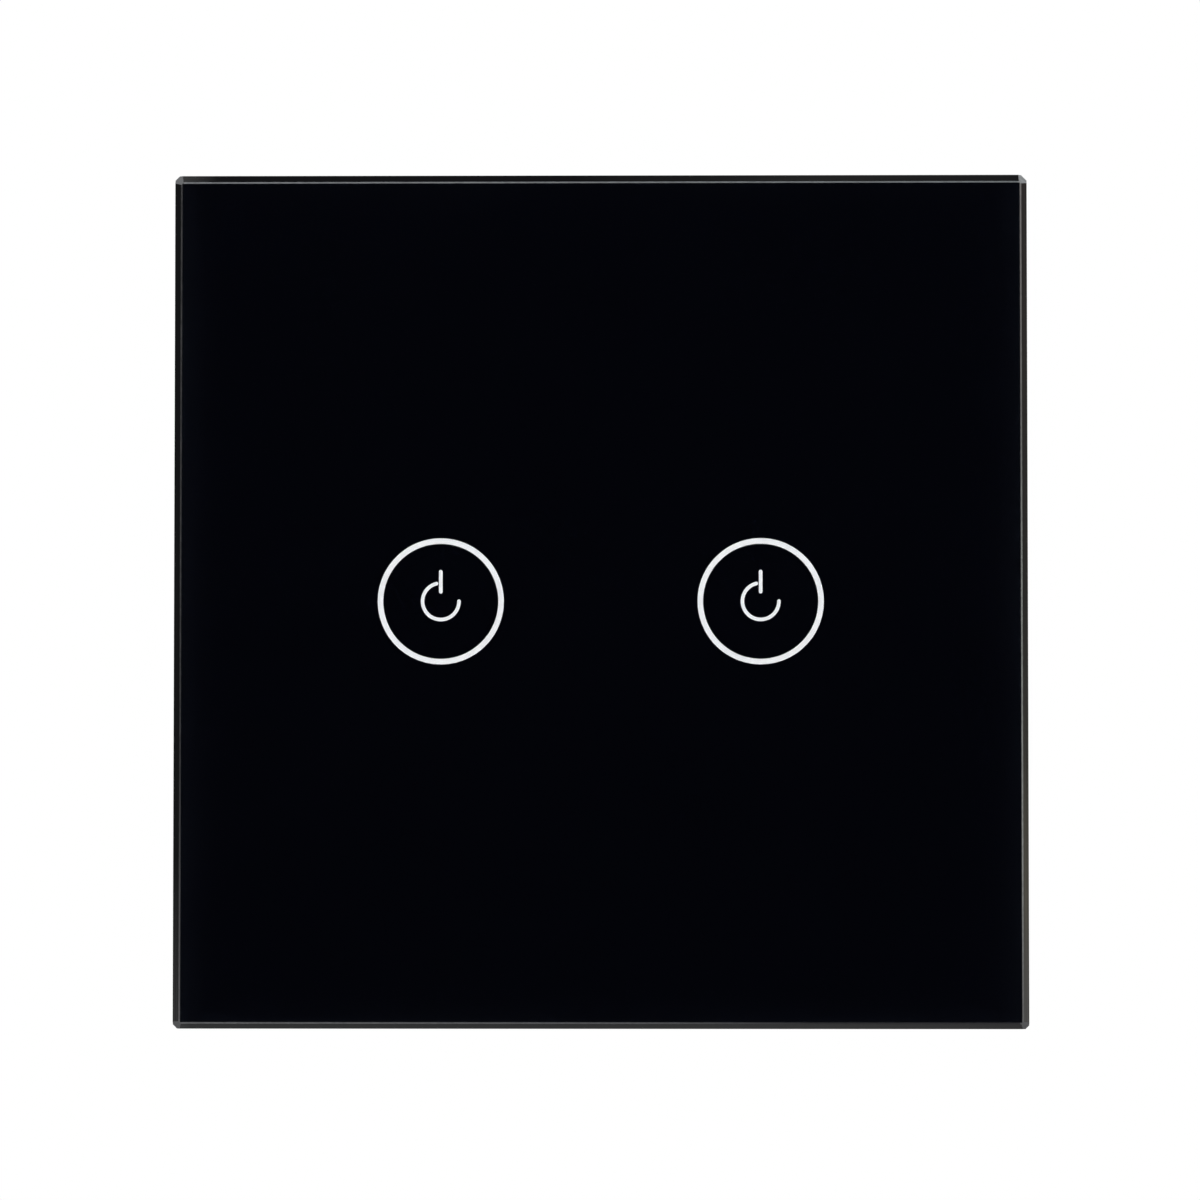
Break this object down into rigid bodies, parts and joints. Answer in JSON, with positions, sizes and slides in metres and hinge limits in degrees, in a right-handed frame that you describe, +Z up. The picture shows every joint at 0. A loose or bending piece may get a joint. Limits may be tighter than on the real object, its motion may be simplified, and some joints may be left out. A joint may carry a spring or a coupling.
{
  "type": "touch light switch",
  "caption": "Square black glass wall switch with ring-shaped touch keys side by side, a panel held by snap hooks, and a rear housing with screw terminals that sits in a wall box.",
  "frame": {"origin": "centre of the wall plane, midway between the two wall screws, where the base plate rests on the wall", "axes": "+Y into the wall, so the glass faces -Y; +Z up; +X to the right as seen from the front"},
  "size_m": [0.086, 0.0349, 0.086],
  "materials": {
    "glass_panel": "clear glass, polished, printed black behind",
    "black_ink": "black screen print",
    "white_ink": "white screen print",
    "glass_tape": "black foam tape",
    "panel_frame": "fine-textured black plastic",
    "snap_hooks": "fine-textured black plastic",
    "base_plate": "fine-textured dark plastic",
    "rear_housing": "fine-textured dark plastic",
    "housing_screws": "zinc-plated steel",
    "touch_board_screws": "zinc-plated steel",
    "touch_board": "green solder mask",
    "power_board": "green solder mask",
    "touch_controller": "black chip resin",
    "key_leds": "clear resin",
    "header_strip": "black plastic",
    "header_pins": "gold-plated brass",
    "touch_spring_left": "plated spring wire",
    "touch_spring_right": "plated spring wire",
    "light_guide_left": "milky plastic",
    "light_guide_right": "milky plastic",
    "terminal_tongues": "tin-plated brass",
    "transformer_core": "ferrite",
    "transformer_winding": "yellow tape over the winding",
    "film_capacitor": "yellow plastic box",
    "input_capacitor": "black shrink sleeve",
    "output_capacitor": "black shrink sleeve",
    "rectifier": "black resin",
    "fuse_resistor": "green lacquer",
    "varistor": "blue resin",
    "terminal_body_1": "dark plastic",
    "clamp_cage_1": "nickel-plated brass",
    "clamp_screw_1": "zinc-plated steel",
    "terminal_body_2": "dark plastic",
    "clamp_cage_2": "nickel-plated brass",
    "clamp_screw_2": "zinc-plated steel",
    "terminal_body_3": "dark plastic",
    "clamp_cage_3": "nickel-plated brass",
    "clamp_screw_3": "zinc-plated steel",
    "terminal_body_4": "dark plastic",
    "clamp_cage_4": "nickel-plated brass",
    "clamp_screw_4": "zinc-plated steel",
    "relay_left_case": "black plastic cover",
    "relay_left_base": "black plastic",
    "relay_left_bobbin": "white plastic",
    "relay_left_winding": "enamelled copper wire",
    "relay_left_core": "soft iron, plated",
    "relay_left_yoke": "soft iron, plated",
    "relay_left_armature": "soft iron, plated",
    "relay_left_leaf": "copper alloy leaf",
    "relay_left_fixed_contact": "copper alloy, silver contact",
    "relay_right_case": "black plastic cover",
    "relay_right_base": "black plastic",
    "relay_right_bobbin": "white plastic",
    "relay_right_winding": "enamelled copper wire",
    "relay_right_core": "soft iron, plated",
    "relay_right_yoke": "soft iron, plated",
    "relay_right_armature": "soft iron, plated",
    "relay_right_leaf": "copper alloy leaf",
    "relay_right_fixed_contact": "copper alloy, silver contact"
  },
  "bodies": {
    "base": {"base_plate": "base_plate", "rear_housing": "rear_housing", "housing_screws": "housing_screws", "touch_board": "touch_board", "touch_board_screws": "touch_board_screws", "touch_controller": "touch_controller", "key_leds": "key_leds", "header_strip": "header_strip", "header_pins": "header_pins", "touch_spring_left": "touch_spring_left", "touch_spring_right": "touch_spring_right", "light_guide_left": "light_guide_left", "light_guide_right": "light_guide_right", "power_board": "power_board", "terminal_body_1": "terminal_body_1", "terminal_body_2": "terminal_body_2", "terminal_body_3": "terminal_body_3", "terminal_body_4": "terminal_body_4", "terminal_tongues": "terminal_tongues", "transformer_core": "transformer_core", "transformer_winding": "transformer_winding", "film_capacitor": "film_capacitor", "input_capacitor": "input_capacitor", "output_capacitor": "output_capacitor", "rectifier": "rectifier", "fuse_resistor": "fuse_resistor", "varistor": "varistor", "relay_left_case": "relay_left_case", "relay_left_base": "relay_left_base", "relay_left_bobbin": "relay_left_bobbin", "relay_left_winding": "relay_left_winding", "relay_left_core": "relay_left_core", "relay_left_yoke": "relay_left_yoke", "relay_left_fixed_contact": "relay_left_fixed_contact", "relay_right_case": "relay_right_case", "relay_right_base": "relay_right_base", "relay_right_bobbin": "relay_right_bobbin", "relay_right_winding": "relay_right_winding", "relay_right_core": "relay_right_core", "relay_right_yoke": "relay_right_yoke", "relay_right_fixed_contact": "relay_right_fixed_contact"},
    "front_panel": {"glass_panel": "glass_panel", "black_ink": "black_ink", "white_ink": "white_ink", "glass_tape": "glass_tape", "panel_frame": "panel_frame", "snap_hooks": "snap_hooks"},
    "relay_left_armature": {"relay_left_armature": "relay_left_armature", "relay_left_leaf": "relay_left_leaf"},
    "relay_right_armature": {"relay_right_armature": "relay_right_armature", "relay_right_leaf": "relay_right_leaf"},
    "clamp_screw_1": {"clamp_screw_1": "clamp_screw_1"},
    "clamp_cage_1": {"clamp_cage_1": "clamp_cage_1"},
    "clamp_screw_2": {"clamp_screw_2": "clamp_screw_2"},
    "clamp_cage_2": {"clamp_cage_2": "clamp_cage_2"},
    "clamp_screw_3": {"clamp_screw_3": "clamp_screw_3"},
    "clamp_cage_3": {"clamp_cage_3": "clamp_cage_3"},
    "clamp_screw_4": {"clamp_screw_4": "clamp_screw_4"},
    "clamp_cage_4": {"clamp_cage_4": "clamp_cage_4"}
  },
  "joints": [
    {"name": "front_panel_pull", "type": "slide", "parent": "base", "child": "front_panel", "axis": [0, -1, 0], "range_m": [0, 0.03], "deforming": ["snap_hooks"]},
    {"name": "clamp_screw_1_turn", "type": "hinge", "parent": "base", "child": "clamp_screw_1", "pos_m": [-0.0141, 0.02078, -0.02395], "axis": [0, -1, 0], "range_deg": [0, 1801]},
    {"name": "clamp_cage_1_rise", "type": "slide", "parent": "base", "child": "clamp_cage_1", "axis": [0, 1, 0], "range_m": [0, 0.003]},
    {"name": "clamp_screw_2_turn", "type": "hinge", "parent": "base", "child": "clamp_screw_2", "pos_m": [-0.0047, 0.02078, -0.02395], "axis": [0, -1, 0], "range_deg": [0, 1801]},
    {"name": "clamp_cage_2_rise", "type": "slide", "parent": "base", "child": "clamp_cage_2", "axis": [0, 1, 0], "range_m": [0, 0.003]},
    {"name": "clamp_screw_3_turn", "type": "hinge", "parent": "base", "child": "clamp_screw_3", "pos_m": [0.0047, 0.02078, -0.02395], "axis": [0, -1, 0], "range_deg": [0, 1801]},
    {"name": "clamp_cage_3_rise", "type": "slide", "parent": "base", "child": "clamp_cage_3", "axis": [0, 1, 0], "range_m": [0, 0.003]},
    {"name": "clamp_screw_4_turn", "type": "hinge", "parent": "base", "child": "clamp_screw_4", "pos_m": [0.0141, 0.02078, -0.02395], "axis": [0, -1, 0], "range_deg": [0, 1801]},
    {"name": "clamp_cage_4_rise", "type": "slide", "parent": "base", "child": "clamp_cage_4", "axis": [0, 1, 0], "range_m": [0, 0.003]},
    {"name": "relay_left_pull_in", "type": "hinge", "parent": "base", "child": "relay_left_armature", "pos_m": [-0.0167, 0.01586, -0.01492], "axis": [1, 0, 0], "range_deg": [0, 3.5], "stiffness_Nm_per_rad": 0.003, "springref_deg": -11.46},
    {"name": "relay_right_pull_in", "type": "hinge", "parent": "base", "child": "relay_right_armature", "pos_m": [-0.0051, 0.01586, -0.01492], "axis": [1, 0, 0], "range_deg": [0, 3.5], "stiffness_Nm_per_rad": 0.003, "springref_deg": -11.46}
  ],
  "couplings": [
    {"joint": "clamp_screw_1_turn", "follows": "clamp_cage_1_rise", "rad_per_m": 10472},
    {"joint": "clamp_screw_2_turn", "follows": "clamp_cage_2_rise", "rad_per_m": 10472},
    {"joint": "clamp_screw_3_turn", "follows": "clamp_cage_3_rise", "rad_per_m": 10472},
    {"joint": "clamp_screw_4_turn", "follows": "clamp_cage_4_rise", "rad_per_m": 10472}
  ]
}
